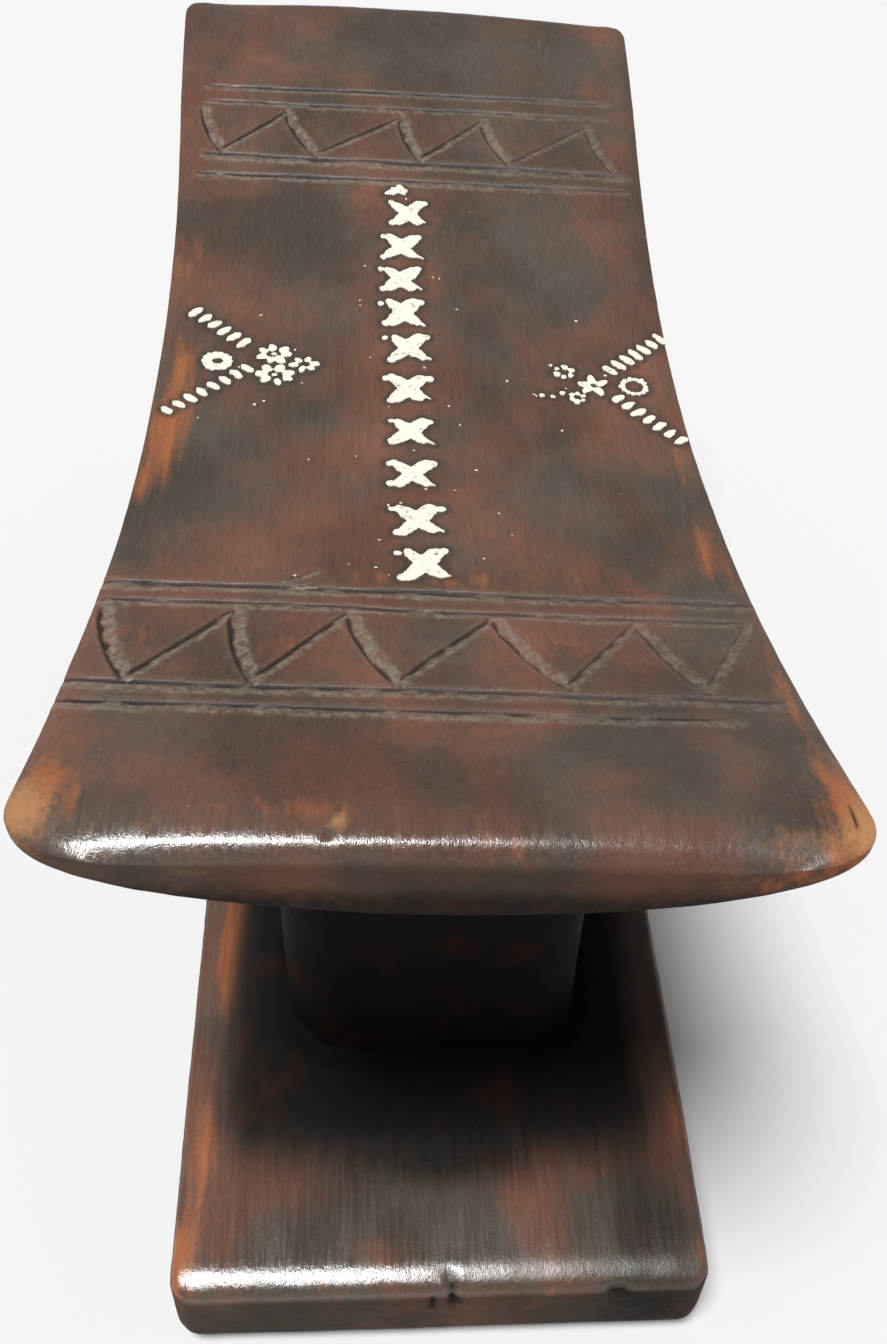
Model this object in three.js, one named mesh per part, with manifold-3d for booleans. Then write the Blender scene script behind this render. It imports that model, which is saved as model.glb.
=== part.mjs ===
// A carved headrest: a dished platform on one broad post and a flat base, cut from a single block of wood,
// with white lime paste pressed into punched pockets across the platform.
// Millimetres, +Z up. The platform's length lies along Y. The origin is the middle of the underside.
import * as THREE from "three";
import { mergeVertices } from "three/addons/utils/BufferGeometryUtils.js";
import Module from "manifold-3d";

const wasm = await Module();
wasm.setup();

// Platform
const PLATFORM_LENGTH = 213;
const END_WIDTH = 89.6;
const WAIST_WIDTH = 81.6;
const PLATFORM_MID_HEIGHT = 118; // top surface at the middle
const END_RISE = 15.1; // how far both ends curl up above the middle
const FAR_LEAN = 1.5; // the +Y end is this much higher, and the -Y end lower
const DIP_SHIFT = 5.3; // moves the lowest point of the dish towards the -Y end
const SIDE_SLOPE = 0.046; // fall towards +X: the block was carved slightly out of true
const THICKNESS_MID = 17;
const THICKNESS_END = 12.5;
const RIM = 1.6; // height of the narrow side edge above the rounded belly
const PLAN_CORNER = 5;

// Post
const POST_WIDTH = 50.4;
const POST_LENGTH = 123;
const POST_BOW = 3; // how far the two end faces bulge
const POST_CORNER = 9;
const POST_FLARE = 6; // spread of the post where it runs into the platform
const POST_SINK = 7; // how deep its top lies under the platform's surface

// Base
const BASE_WIDTH = 85;
const BASE_LENGTH = 211;
const BASE_HEIGHT = 19.4;
const BASE_CORNER = 6;
const BASE_SHIFT = 2; // the base and the post stand this far off the platform's centre line

// Carved decoration
const LINE_WIDTH = 1.1;
const STROKE_WIDTH = 1.5;
const INLAY_DEPTH = 1.2;
const INLAY_GAP = 0.15; // clearance between an inlay and its pocket

// ---- surfaces ----

const along = (y) => y / (PLATFORM_LENGTH / 2);

function halfWidth(y) {
  const u = along(y);
  const flare = 1.7 * u ** 2 - 0.7 * u ** 4;
  return WAIST_WIDTH / 2 + ((END_WIDTH - WAIST_WIDTH) / 2) * flare;
}

function topHeight(x, y) {
  const u = along(y);
  const dish = END_RISE * u ** 2 + FAR_LEAN * u + DIP_SHIFT * (u - u ** 3);
  return PLATFORM_MID_HEIGHT + dish - SIDE_SLOPE * x;
}

function topNormal(x, y) {
  const step = 0.5;
  const rise = (topHeight(x, y + step) - topHeight(x, y - step)) / (2 * step);
  return new THREE.Vector3(SIDE_SLOPE, -rise, 1).normalize();
}

// ---- closed solids ----

// Joins rings of points into one closed skin. Each ring turns anticlockwise about the way the rings advance.
function loft(rings) {
  const size = rings[0].length;
  const centre = (ring) => ring.reduce((sum, p) => sum.add(p), new THREE.Vector3()).divideScalar(size);
  const points = [...rings.flat(), centre(rings[0]), centre(rings.at(-1))];
  const startCentre = points.length - 2;
  const endCentre = points.length - 1;
  const endRing = (rings.length - 1) * size;
  const faces = [];
  for (let i = 0; i < size; i++) {
    const next = (i + 1) % size;
    faces.push(startCentre, next, i);
    faces.push(endCentre, endRing + i, endRing + next);
    for (let level = 0; level < endRing; level += size) {
      faces.push(level + i, level + next, level + size + next);
      faces.push(level + i, level + size + next, level + size + i);
    }
  }
  return new THREE.BufferGeometry().setFromPoints(points).setIndex(faces);
}

function toSolid(geometry) {
  const bare = new THREE.BufferGeometry();
  bare.setAttribute("position", geometry.getAttribute("position"));
  bare.setIndex(geometry.index);
  const merged = mergeVertices(bare, 1e-4);
  const skin = { numProp: 3, vertProperties: merged.attributes.position.array, triVerts: merged.index.array };
  return new wasm.Manifold(new wasm.Mesh(skin));
}

function toGeometry(solid) {
  const { vertProperties, triVerts } = solid.getMesh();
  const geometry = new THREE.BufferGeometry();
  geometry.setAttribute("position", new THREE.BufferAttribute(vertProperties, 3));
  geometry.setIndex(new THREE.BufferAttribute(triVerts, 1)).computeVertexNormals();
  return geometry;
}

// ---- the three regions of the carved block ----

// One cross-section of the platform: a flat top, a narrow side edge and a rounded belly.
function platformSection(y, inset) {
  const overCorner = Math.max(0, Math.abs(y) - (PLATFORM_LENGTH / 2 - PLAN_CORNER));
  const cornerCut = PLAN_CORNER - Math.sqrt(PLAN_CORNER ** 2 - overCorner ** 2);
  const half = halfWidth(y) - inset - 0.8 * cornerCut;
  const thickness = THICKNESS_MID + (THICKNESS_END - THICKNESS_MID) * along(y) ** 2 - 1.6 * inset;
  const section = [];
  const add = (x, depth) => section.push(new THREE.Vector3(x, y, topHeight(x, y) - 0.7 * inset - depth));
  const topSteps = 6;
  const edge = half - RIM;
  for (let i = 0; i <= topSteps; i++) add(-edge + (2 * edge * i) / topSteps, 0);
  add(half - RIM / 4, RIM / 3);
  const bellySteps = 14;
  for (let i = 0; i <= bellySteps; i++) {
    const turn = (Math.PI * i) / bellySteps;
    add(half * Math.cos(turn), RIM + (thickness - RIM) * Math.sin(turn));
  }
  add(-half + RIM / 4, RIM / 3);
  return section;
}

function platform() {
  const roundedEnd = [[0, 2.4], [0.5, 1.1], [1.6, 0.3], [3.2, 0]]; // distance from the end, inset
  const straight = PLATFORM_LENGTH / 2 - PLAN_CORNER;
  const steps = 22;
  const stations = roundedEnd.map(([back, inset]) => [-PLATFORM_LENGTH / 2 + back, inset]);
  for (let i = 0; i <= steps; i++) stations.push([-straight + (2 * straight * i) / steps, 0]);
  roundedEnd.reverse().forEach(([back, inset]) => stations.push([PLATFORM_LENGTH / 2 - back, inset]));
  return loft(stations.map(([y, inset]) => platformSection(y, inset)));
}

// A rectangle with round corners, as [x, y] pairs, anticlockwise. Its two ends get points between the corners.
function roundedRectangle(halfX, halfY, radius) {
  const cornerSteps = 5;
  const endSteps = 4;
  const outline = [];
  for (const [quarter, [sideX, sideY]] of [[1, 1], [-1, 1], [-1, -1], [1, -1]].entries()) {
    const corner = [sideX * (halfX - radius), sideY * (halfY - radius)];
    for (let i = 0; i <= cornerSteps; i++) {
      const turn = (Math.PI / 2) * (quarter + i / cornerSteps);
      outline.push([corner[0] + radius * Math.cos(turn), corner[1] + radius * Math.sin(turn)]);
    }
    const endFollows = quarter % 2 === 0;
    for (let i = 1; endFollows && i < endSteps; i++) {
      outline.push([corner[0] * (1 - (2 * i) / endSteps), sideY * halfY]);
    }
  }
  return outline;
}

function post() {
  const footHeight = BASE_HEIGHT - 4;
  const levels = [0, 0.35, 0.6, 0.75, 0.85, 0.93, 1];
  const ring = (level) => {
    const flare = POST_FLARE * level ** 7;
    const halfX = POST_WIDTH / 2 + flare;
    const outline = roundedRectangle(halfX, POST_LENGTH / 2 + flare, POST_CORNER);
    return outline.map(([localX, localY]) => {
      const x = localX + BASE_SHIFT;
      const y = localY + Math.sign(localY) * POST_BOW * (1 - (localX / halfX) ** 2);
      const crown = topHeight(x, y) - POST_SINK;
      return new THREE.Vector3(x, y, footHeight + level * (crown - footHeight));
    });
  };
  return loft(levels.map(ring));
}

function base() {
  const profile = [[0, 6], [0.7, 3.2], [2.4, 1.1], [5.5, 0], [17, 0], [18.7, 0.7], [BASE_HEIGHT, 2.2]];
  const ring = ([z, inset]) => {
    const outline = roundedRectangle(BASE_WIDTH / 2 - inset, BASE_LENGTH / 2 - inset, BASE_CORNER);
    return outline.map(([x, y]) => new THREE.Vector3(x + BASE_SHIFT, y, z));
  };
  return loft(profile.map(ring));
}

// ---- engraved lines: V-shaped cuts between two points of the platform's top ----

const onTop = ([x, y]) => new THREE.Vector3(x, y, topHeight(x, y));

function groove(from, to, width) {
  const start = onTop(from);
  const end = onTop(to);
  const side = width / Math.SQRT2;
  const cut = new THREE.BoxGeometry(start.distanceTo(end), side, side);
  cut.rotateX(Math.PI / 4);
  const direction = end.clone().sub(start).normalize();
  cut.applyQuaternion(new THREE.Quaternion().setFromUnitVectors(new THREE.Vector3(1, 0, 0), direction));
  const middle = start.add(end).divideScalar(2);
  return cut.translate(middle.x, middle.y, middle.z);
}

// Each border is two pairs of lines, drawn from side to side, with a zigzag between the pairs.
const BORDERS = [
  {
    lines: [[-37, 76, 38, 77.3], [-37, 71.6, 37, 72.4], [-35, 55.7, 39, 55.2], [-37, 50, 38.5, 50.6]],
    zigzagX: [-38.8, -35, -23.5, -17.9, -2.3, 1, 13, 17.6, 33, 36.5],
    zigzagY: [69, 57],
  },
  {
    lines: [[-41, -55.8, 40, -56.9], [-40, -59.6, 39, -61.2], [-43, -77.2, 39, -78.4], [-42, -81.3, 31, -82.7]],
    zigzagX: [-41.5, -36.5, -25.3, -22, -11, -5, 7, 15, 25.5, 32, 40],
    zigzagY: [-61.8, -76.4],
  },
];

function grooves({ lines, zigzagX, zigzagY }) {
  const cuts = lines.map(([x1, y1, x2, y2]) => groove([x1, y1], [x2, y2], LINE_WIDTH));
  for (let i = 1; i < zigzagX.length; i++) {
    const from = [zigzagX[i - 1], zigzagY[(i - 1) % 2]];
    const to = [zigzagX[i], zigzagY[i % 2]];
    cuts.push(groove(from, to, STROKE_WIDTH));
  }
  return cuts;
}

// ---- inlay: outlines grown by `grow`, so that the same outline cuts the pocket ----

function ellipse(halfLength, halfBreadth) {
  return (grow) => new THREE.Shape().absellipse(0, 0, halfLength + grow, halfBreadth + grow, 0, 2 * Math.PI);
}

function polar(radius, steps) {
  return (grow) => {
    const point = (_, i) => {
      const turn = (2 * Math.PI * i) / steps;
      const reach = radius(turn) + grow;
      return new THREE.Vector2(reach * Math.cos(turn), reach * Math.sin(turn));
    };
    return new THREE.Shape(Array.from({ length: steps }, point));
  };
}

const cross = (arm) => polar((turn) => 1.4 + (arm - 1.4) * Math.sin(2 * turn) ** 2, 24);
const rosette = (reach, petals) => polar((turn) => reach * (0.87 + 0.13 * Math.cos(petals * turn)), 4 * petals);

const inlays = new THREE.Group();
const pockets = [];
const LIME = { color: 0xe8e2cf, roughness: 0.85, metalness: 0 };
const CURVE_SEGMENTS = 6;

const extrude = (shape, depth) =>
  new THREE.ExtrudeGeometry(shape, { depth, bevelEnabled: false, curveSegments: CURVE_SEGMENTS });

// Adds one piece of inlay, flush with the wood, and its pocket. `eye` is the radius of a hole in its middle.
function addInlay(name, outline, [x, y], { turn = 0, eye = 0 } = {}) {
  const shape = outline(0);
  if (eye) shape.holes.push(new THREE.Path().absellipse(0, 0, eye, eye, 0, 2 * Math.PI));
  const piece = new THREE.Mesh(
    extrude(shape, INLAY_DEPTH).translate(0, 0, -INLAY_DEPTH),
    new THREE.MeshStandardMaterial(LIME),
  );
  piece.name = name;
  piece.position.copy(onTop([x, y]));
  piece.quaternion.setFromUnitVectors(new THREE.Vector3(0, 0, 1), topNormal(x, y));
  piece.rotateZ(turn);
  piece.updateMatrix();
  inlays.add(piece);
  const clearance = 1;
  const pocketFloor = -INLAY_DEPTH - INLAY_GAP;
  const pocket = extrude(outline(INLAY_GAP), clearance - pocketFloor).translate(0, 0, pocketFloor);
  pockets.push(pocket.applyMatrix4(piece.matrix));
}

const numbered = (name, i) => `${name}_${String(i + 1).padStart(2, "0")}`;

// A row of small dashes from one point to another, each lying across the row.
function addDashes(name, from, to, count, halfLength = 1.5, halfBreadth = 0.65) {
  const turn = Math.atan2(to[1] - from[1], to[0] - from[0]) + Math.PI / 2;
  for (let i = 0; i < count; i++) {
    const share = i / (count - 1);
    const place = [from[0] + (to[0] - from[0]) * share, from[1] + (to[1] - from[1]) * share];
    addInlay(numbered(name, i), ellipse(halfLength, halfBreadth), place, { turn });
  }
}

function addRing(name, place) {
  addInlay(name, ellipse(2.3, 2.3), place, { eye: 0.6 });
}

// Crosses down the middle, spaced by eye. The first one is only a smudge.
const CROSS_PLACES = [
  [-3.4, 47.3], [-1.1, 41.1], [-2.5, 31.3], [-2.7, 22.5], [-2.5, 13.3], [-1.9, 3.9],
  [-2, -6.6], [-1.9, -17.8], [-1.9, -28.2], [-1.4, -39.2], [-0.9, -49.7],
];
CROSS_PLACES.forEach((place, i) => {
  const outline = i === 0 ? rosette(1.9, 4) : cross(5.1);
  addInlay(numbered("cross_inlay", i), outline, place);
});

// Left motif: two rows of dashes that close on a group of rosettes, with a ring between the rows.
addDashes("left_upper_dash", [-36, 11.1], [-27.9, 3.5], 6);
addDashes("left_lower_dash", [-38.2, -14.6], [-27, -3.1], 8, 1.25);
addRing("left_ring_inlay", [-31.7, -1.5]);
addInlay("left_rosette_01", rosette(2.4, 7), [-23.1, 1]);
addInlay("left_rosette_02", rosette(2.4, 7), [-22.8, -4.4]);
addInlay("left_rosette_03", rosette(2, 6), [-18.2, -1.4]);

// Right motif: the same, with a star where the rows meet and a few loose dots beyond it.
addDashes("right_upper_dash", [39.7, 9.2], [30.4, 0.3], 7);
addDashes("right_lower_dash", [30.8, -7], [39.2, -17.2], 7);
addRing("right_ring_inlay", [33.8, -3.7]);
addInlay("right_star_inlay", rosette(2.3, 5), [27.1, -3.9]);
addInlay("right_rosette_01", rosette(1.9, 6), [22.9, -0.6]);
addInlay("right_rosette_02", rosette(1.4, 5), [24.3, -7.1]);
[[18.8, -6.9], [20.5, -7.2], [22.1, -6.1]].forEach((place, i) => {
  addInlay(numbered("right_tail_dot", i), ellipse(0.55, 0.55), place);
});

// ---- assembly ----

function carvedBody() {
  const block = [platform(), post(), base()].map(toSolid).reduce((sum, solid) => sum.add(solid));
  const cutters = [...BORDERS.flatMap(grooves), ...pockets];
  const carved = cutters.map(toSolid).reduce((left, cutter) => left.subtract(cutter), block);
  const wood = new THREE.MeshStandardMaterial({ color: 0x3a211a, roughness: 0.4, metalness: 0 });
  const body = new THREE.Mesh(toGeometry(carved), wood);
  body.name = "carved_body";
  return body;
}

const headrest = new THREE.Group();
headrest.add(carvedBody(), inlays);

export default headrest;
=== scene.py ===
"""Looks of the carved headrest: a worn, stained wooden body with white lime inlay, on a pale floor.

Metres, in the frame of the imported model: +Z up, the platform's length along Y, the floor at z = 0.
Lists of places and sizes are in millimetres and are turned into metres where they are used.
"""

import math
from contextlib import contextmanager

import bmesh
import bpy
import numpy as np
from mathutils import Matrix, Vector
from mathutils.bvhtree import BVHTree
from mathutils.kdtree import KDTree


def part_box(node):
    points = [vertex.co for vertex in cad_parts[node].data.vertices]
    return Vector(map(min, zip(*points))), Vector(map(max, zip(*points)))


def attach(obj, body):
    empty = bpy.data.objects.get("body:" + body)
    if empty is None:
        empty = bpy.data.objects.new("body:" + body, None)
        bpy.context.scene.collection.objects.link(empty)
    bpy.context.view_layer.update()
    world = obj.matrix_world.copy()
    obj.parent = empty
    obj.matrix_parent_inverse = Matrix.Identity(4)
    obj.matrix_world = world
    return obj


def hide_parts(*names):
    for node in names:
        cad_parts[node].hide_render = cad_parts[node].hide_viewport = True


MM = 0.001

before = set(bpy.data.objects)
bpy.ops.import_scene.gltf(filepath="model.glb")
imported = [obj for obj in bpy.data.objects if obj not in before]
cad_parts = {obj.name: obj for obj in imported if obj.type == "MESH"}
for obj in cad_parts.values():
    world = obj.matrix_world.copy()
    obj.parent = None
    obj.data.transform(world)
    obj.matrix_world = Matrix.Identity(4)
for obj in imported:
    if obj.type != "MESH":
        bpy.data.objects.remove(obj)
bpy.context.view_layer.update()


# -------- noise, soft steps and new objects


def lattice(cell, seed):
    """A repeatable random number from 0 to 1 for each whole-number cell."""
    h = cell[:, 0] * 374761393 + cell[:, 1] * 668265263 + cell[:, 2] * 1103515245 + seed * 97531
    h = (h ^ (h >> 13)) * 1274126177 & 0xFFFFFFFF
    h = (h ^ (h >> 16)) * 2246822519 & 0xFFFFFFFF
    return ((h ^ (h >> 15)) & 0xFFFFFF) / 0xFFFFFF


def noise(points, scale, seed=0):
    """Smooth noise from -1 to 1. scale is the size of its cells in mm, one length or three."""
    q = points / (np.ones(3) * scale * MM) + 1000.37
    cell = np.floor(q).astype(np.int64)
    f = q - cell
    f = f * f * (3 - 2 * f)
    total = np.zeros(len(points))
    for corner in np.ndindex(2, 2, 2):
        weight = np.prod(np.where(corner, f, 1 - f), axis=1)
        total += weight * lattice(cell + corner, seed)
    return 2 * total - 1


def layered(points, scale, seed=0, layers=3):
    """Noise with finer, fainter layers on top of it."""
    scale = np.ones(3) * scale
    return sum(noise(points, scale / 2**i, seed + 17 * i) / 2**i for i in range(layers))


def wobble(run, scale, seed):
    """Noise from -1 to 1 along one length."""
    return noise(np.stack([run, 0 * run, 0 * run], -1), scale, seed)


def smooth(low, high, value):
    """0 below low, 1 above high, and a soft step between them."""
    t = np.clip((value - low) / (high - low), 0, 1)
    return t * t * (3 - 2 * t)


def coordinates(mesh):
    co = np.empty(3 * len(mesh.vertices))
    mesh.vertices.foreach_get("co", co)
    return co.reshape(-1, 3)


def add_object(name, data):
    """A new object in the scene, made of this data."""
    made = bpy.data.objects.new(name, data)
    bpy.context.scene.collection.objects.link(made)
    return made


# -------- sizes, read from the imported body

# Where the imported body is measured: half spans of the samples, and bands of height, in metres.
TOP_HALF_WIDTH = 0.034
TOP_HALF_LENGTH = 0.1
TOP_ROWS = 61
TOP_COLUMNS = 9
GROOVE_DEPTH = 0.1 * MM
RIM_FROM_MIDDLE = 0.042
RIM_DEPTH = 0.8 * MM
RIM_ROWS = 41
POST_BAND = (0.045, 0.08)
BASE_BELOW = 0.03


def top_terms(x, y):
    """The terms of the curve that the platform's top follows."""
    return np.stack([np.ones_like(y), x, y, y**2, y**3, y**4], -1)


def fit_top(tree):
    """Height of the platform's top over any place, with its grooves and pockets left out."""
    hits = []
    for x in np.linspace(-TOP_HALF_WIDTH, TOP_HALF_WIDTH, TOP_COLUMNS):
        for y in np.linspace(-TOP_HALF_LENGTH, TOP_HALF_LENGTH, TOP_ROWS):
            hits.append(tree.ray_cast(Vector((x, y, 1)), Vector((0, 0, -1)))[0])
    x, y, z = np.array(hits).T
    kept = np.ones(len(z), bool)
    for _ in range(3):
        fit = np.linalg.lstsq(top_terms(x[kept], y[kept]), z[kept], rcond=None)[0]
        kept = z - top_terms(x, y) @ fit > -GROOVE_DEPTH
    return lambda x, y: top_terms(x, y) @ fit


def fit_half_width(tree, top):
    """Half width of the platform at any place along it."""
    levels, widths = np.linspace(-TOP_HALF_LENGTH, TOP_HALF_LENGTH, RIM_ROWS), []
    for y in levels:
        rim = top(np.array([RIM_FROM_MIDDLE]), np.array([y]))[0] - RIM_DEPTH
        widths.append(tree.ray_cast(Vector((1, y, rim)), Vector((-1, 0, 0)))[0].x)
    curve = np.polyfit(levels, widths, 4)
    return lambda y: np.polyval(curve, y)


def read_body():
    """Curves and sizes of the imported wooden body."""
    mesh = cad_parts["carved_body"].data
    co = coordinates(mesh)
    tree = BVHTree.FromPolygons([v.co for v in mesh.vertices], [p.vertices for p in mesh.polygons])
    top = fit_top(tree)
    shaft = co[(co[:, 2] > POST_BAND[0]) & (co[:, 2] < POST_BAND[1])]
    base = co[co[:, 2] < BASE_BELOW]
    return {
        "half_length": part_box("carved_body")[1].y,
        "top": top,
        "half_width": fit_half_width(tree, top),
        "post_low": shaft.min(0),
        "post_high": shaft.max(0),
        "base_low": base.min(0),
        "base_high": base.max(0),
    }


body = read_body()


def read_inlays():
    """Centre, direction and half sizes of each inlay node, seen from above."""
    found = {}
    for name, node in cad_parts.items():
        if name == "carved_body":
            continue
        co = coordinates(node.data)[:, :2]
        low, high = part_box(name)
        centre = np.array([(low.x + high.x) / 2, (low.y + high.y) / 2])
        axes = np.linalg.eigh(np.cov((co - centre).T))[1]
        long_axis = axes[:, 1] * np.sign(axes[0, 1] or 1)
        along = (co - centre) @ long_axis
        across = (co - centre) @ np.array([-long_axis[1], long_axis[0]])
        found[name] = {
            "centre": centre,
            "turn": math.atan2(long_axis[1], long_axis[0]),
            "half": (along.max(), across.max()),
        }
    return dict(sorted(found.items()))


inlays = read_inlays()


# -------- camera

CAMERA_PLACE = (-7.13 * MM, -191.54 * MM, 239.46 * MM)
CAMERA_DOWN = 0.78073
CAMERA_YAW = 0.06554
CAMERA_ROLL = 0.03702
CAMERA_LENS = 37.5


def add_camera():
    """A camera above the near end of the platform, looking along it and down."""
    camera = add_object("camera", bpy.data.cameras.new("camera"))
    camera.data.lens = CAMERA_LENS
    camera.data.clip_start = 0.01
    level_forward = Vector((math.sin(CAMERA_YAW), math.cos(CAMERA_YAW), 0))
    forward = math.cos(CAMERA_DOWN) * level_forward - math.sin(CAMERA_DOWN) * Vector((0, 0, 1))
    level = Vector((math.cos(CAMERA_YAW), -math.sin(CAMERA_YAW), 0))
    right = math.cos(CAMERA_ROLL) * level + math.sin(CAMERA_ROLL) * level.cross(forward)
    up = right.cross(forward)
    turn = Matrix((right, up, -forward)).transposed().to_4x4()
    camera.matrix_world = Matrix.Translation(CAMERA_PLACE) @ turn
    bpy.context.scene.camera = camera


add_camera()


# -------- fine mesh of the wooden body

# The platform's thickness at its rim, middle and ends, and the radii of its edges and corners.
PLATFORM_RIM = 2.2 * MM
PLATFORM_MID = 17 * MM
PLATFORM_END = 13.2 * MM
PLATFORM_EDGE = 2.2 * MM
PLATFORM_CORNER = 6 * MM
CORNER_SHARE = 0.85
# How far from an end its top starts to fall, at mid-width and at the near corners, and how fast.
END_FALL_REACH = 6 * MM
CORNER_FALL_REACH = 9.3 * MM
END_FALL = 0.085 / MM
# How far the middle of its far end bulges out and up.
FAR_BOW = 2.4 * MM
FAR_CROWN = 1.2 * MM
FAR_BOW_FROM = 50 * MM
# Where along it the engraved borders lie.
NEAR_BORDER = (-86 * MM, -52 * MM)
FAR_BORDER = (46 * MM, 81 * MM)

# The base's edge radius, the height over which its sides draw in, and how much of that is kept.
BASE_EDGE = 1.7 * MM
BASE_FOOT = 6 * MM
BASE_CORNER = 3.6 * MM
FOOT_SHARE = 0.7

# The post: round corners, bowed ends, a flare at its top, and its ends sunk into its neighbours.
POST_CORNER = 9 * MM
POST_BOW = 3 * MM
POST_FLARE = 6 * MM
POST_SINK = 7 * MM
POST_BURIED = 5 * MM
POST_RISE = 100 * MM
FLARE_POWER = 7

EDGE_STEPS = 7
CORNER_STEPS = 12


def box_skin(xs, ys, zs):
    """The skin of a box as (points, quads) over three rising lists of coordinates."""
    lists = (xs, ys, zs)
    points, quads, start = [], [], 0
    for axis, (first, second) in enumerate(((1, 2), (2, 0), (0, 1))):
        grid_a, grid_b = np.meshgrid(lists[first], lists[second], indexing="ij")
        index = np.arange(grid_a.size).reshape(grid_a.shape)
        corners = [index[:-1, :-1], index[1:, :-1], index[1:, 1:], index[:-1, 1:]]
        for end in (0, -1):
            face = np.zeros((grid_a.size, 3))
            face[:, axis] = lists[axis][end]
            face[:, first] = grid_a.ravel()
            face[:, second] = grid_b.ravel()
            order = corners if end else corners[::-1]
            points.append(face)
            quads.append(start + np.stack([c.ravel() for c in order], -1))
            start += grid_a.size
    return np.concatenate(points), np.concatenate(quads)


@contextmanager
def editing(mesh):
    """The mesh in a form that can be edited, written back at the end."""
    work = bmesh.new()
    work.from_mesh(mesh)
    yield work
    work.to_mesh(mesh)
    work.free()


def mesh_object(name, points, faces):
    """A mesh object whose points in the same place are joined into one."""
    mesh = bpy.data.meshes.new(name)
    mesh.from_pydata(points.tolist(), [], [tuple(f) for f in faces])
    with editing(mesh) as work:
        bmesh.ops.remove_doubles(work, verts=work.verts, dist=1e-7)
    return add_object(name, mesh)


def round_edges(p, half, radius):
    """Moves the skin of a box of half sizes `half` onto the same box with round edges."""
    inner = np.clip(p, radius - half, half - radius)
    out = p - inner
    length = np.maximum(np.linalg.norm(out, axis=1), 1e-12)
    return inner + out / length[:, None] * radius


def spaced(stops, edge):
    """Coordinates through (place, step) stops, with EDGE_STEPS steps over each round edge."""
    values = []
    for (a, step), (b, _) in zip(stops, stops[1:]):
        count = max(1, round((b - a) / step))
        values.extend(a + (b - a) * i / count for i in range(count))
    values.append(stops[-1][0])
    fine = [edge * i / EDGE_STEPS for i in range(EDGE_STEPS)]
    low, high = values[0], values[-1]
    middle = [v for v in values if low + edge <= v <= high - edge]
    return np.array([low + f for f in fine] + middle + [high - f for f in reversed(fine)])


def even(half, step, edge):
    """Coordinates from -half to half in even steps."""
    return spaced([(-half, step), (half, step)], edge)


def corner_cut(y, half_y, radius):
    """How far a round corner, seen from above, pulls the side in at y."""
    over = np.clip(np.abs(y) - (half_y - radius), 0, radius)
    return radius - np.sqrt(radius**2 - over**2)


def square_to_round(p, half, radius):
    """Bends the square corners of a box, seen from above, into round ones."""
    over = np.clip((np.abs(p[:, :2]) - (half[:2] - radius)) / radius, 0, 1)
    bent = over * np.sqrt(1 - over[:, ::-1] ** 2 / 2)
    p[:, :2] -= np.sign(p[:, :2]) * (over - bent) * radius


def belly(x, y):
    """Thickness of the platform over its rounded underside."""
    share = np.clip(x / body["half_width"](y), -1, 1)
    middle = PLATFORM_MID + (PLATFORM_END - PLATFORM_MID) * (y / body["half_length"]) ** 2
    return PLATFORM_RIM + (middle - PLATFORM_RIM) * np.sqrt(1 - share**2)


def make_platform():
    """A box with round edges, bent along the curved top and given a rounded belly.

    Its ends fall away, the near corners most, and its far end bulges a little in the middle.
    """
    end = body["half_length"]
    reach = body["half_width"](end)
    half = np.array([reach, end, PLATFORM_END / 2])
    fine, plain = ((0.6 * MM, 0.85 * MM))
    stops = [(-end, plain), (NEAR_BORDER[0], fine), (NEAR_BORDER[1], plain)]
    stops += [(FAR_BORDER[0], fine), (FAR_BORDER[1], plain), (end, plain)]
    xs, ys = even(reach, fine, PLATFORM_EDGE), spaced(stops, PLATFORM_EDGE)
    p, quads = box_skin(xs, ys, even(half[2], 1 * MM, PLATFORM_EDGE))
    p = round_edges(p, half, PLATFORM_EDGE)
    y = p[:, 1]
    share = np.clip(p[:, 0] / reach, -1, 1)
    width = body["half_width"](y)
    x = share * (width - CORNER_SHARE * corner_cut(y, end, PLATFORM_CORNER))
    depth = (half[2] - p[:, 2]) / PLATFORM_END
    fall_reach = END_FALL_REACH + (CORNER_FALL_REACH - END_FALL_REACH) * share**2 * (y < 0)
    fall = END_FALL * np.clip(fall_reach - (end - np.abs(y)), 0, None) ** 2 / PLATFORM_END
    depth = depth + fall * (1 - depth)
    z = body["top"](x, y) - depth * belly(share * width, y)
    bulge = smooth(FAR_BOW_FROM, end, y) * (1 - share**2)
    points = np.stack([x, y + FAR_BOW * bulge, z + FAR_CROWN * bulge], -1)
    return mesh_object("platform", points, quads)


def make_base():
    """A slab with round corners whose sides draw in towards the floor."""
    low, high = body["base_low"], body["base_high"]
    middle, half = (low + high) / 2, (high - low) / 2
    step = 1 * MM
    grid = [even(size, step, BASE_EDGE) for size in half]
    p, quads = box_skin(*grid)
    p = round_edges(p, half, BASE_EDGE)
    square_to_round(p, half, BASE_CORNER)
    over_foot = np.clip(BASE_FOOT - (p[:, 2] + half[2]), 0, BASE_FOOT)
    inset = BASE_FOOT - np.sqrt(BASE_FOOT**2 - over_foot**2)
    p[:, :2] *= 1 - FOOT_SHARE * inset[:, None] / half[:2]
    return mesh_object("base", p + middle, quads)


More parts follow.
